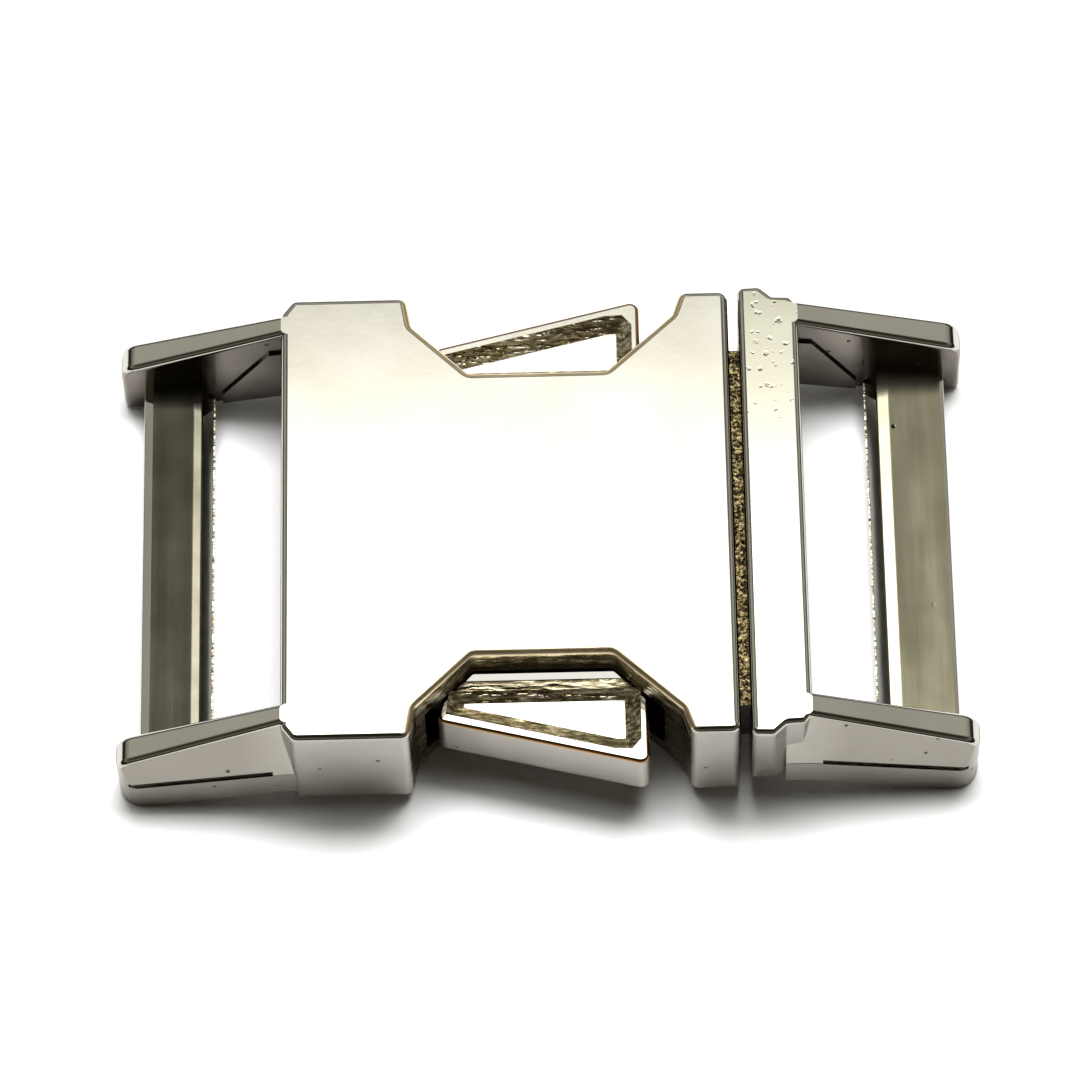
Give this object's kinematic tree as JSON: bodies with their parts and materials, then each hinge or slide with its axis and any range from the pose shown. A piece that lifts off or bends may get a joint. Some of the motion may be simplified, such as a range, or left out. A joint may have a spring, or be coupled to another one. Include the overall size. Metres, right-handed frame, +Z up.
{
  "type": "side-release buckle",
  "caption": "Curved metal side-release buckle for flat webbing, closed: socket and plug halves, each with a strap bar, and two side latches that press in to release.",
  "frame": {"origin": "centre of the bounding box on the table plane under the closed buckle", "axes": "+X from the socket half to the plug half, +Y to the back, +Z up out of the flat top face"},
  "size_m": [0.0542, 0.0326, 0.0095],
  "materials": {
    "casting": "polished dark nickel plate on a zinc die casting",
    "latch_casting": "polished dark nickel plate, rough as cast inside the pocket",
    "pin_steel": "drawn steel pin",
    "spring_steel": "spring wire"
  },
  "bodies": {
    "socket": {"female_body": "casting"},
    "plug": {"male_plug": "casting", "pivot_pin_front": "pin_steel", "pivot_pin_rear": "pin_steel", "latch_spring_front": "spring_steel", "latch_spring_rear": "spring_steel"},
    "front_latch": {"latch_front": "latch_casting"},
    "rear_latch": {"latch_rear": "latch_casting"}
  },
  "joints": [
    {"name": "plug_end_play", "type": "slide", "parent": "socket", "child": "plug", "axis": [1, 0, 0], "range_m": [-0.00035, 0.00095]},
    {"name": "front_latch_pivot", "type": "hinge", "parent": "plug", "child": "front_latch", "pos_m": [-0.0105, -0.0085, 0.0047], "axis": [0, 0, 1], "range_deg": [0, 12.5], "stiffness_Nm_per_rad": 0.05, "springref_deg": -11.46, "deforming": ["latch_spring_front"]},
    {"name": "rear_latch_pivot", "type": "hinge", "parent": "plug", "child": "rear_latch", "pos_m": [-0.0105, 0.0085, 0.0047], "axis": [0, 0, 1], "range_deg": [-12.5, 0], "stiffness_Nm_per_rad": 0.05, "springref_deg": 11.46, "deforming": ["latch_spring_rear"]}
  ]
}
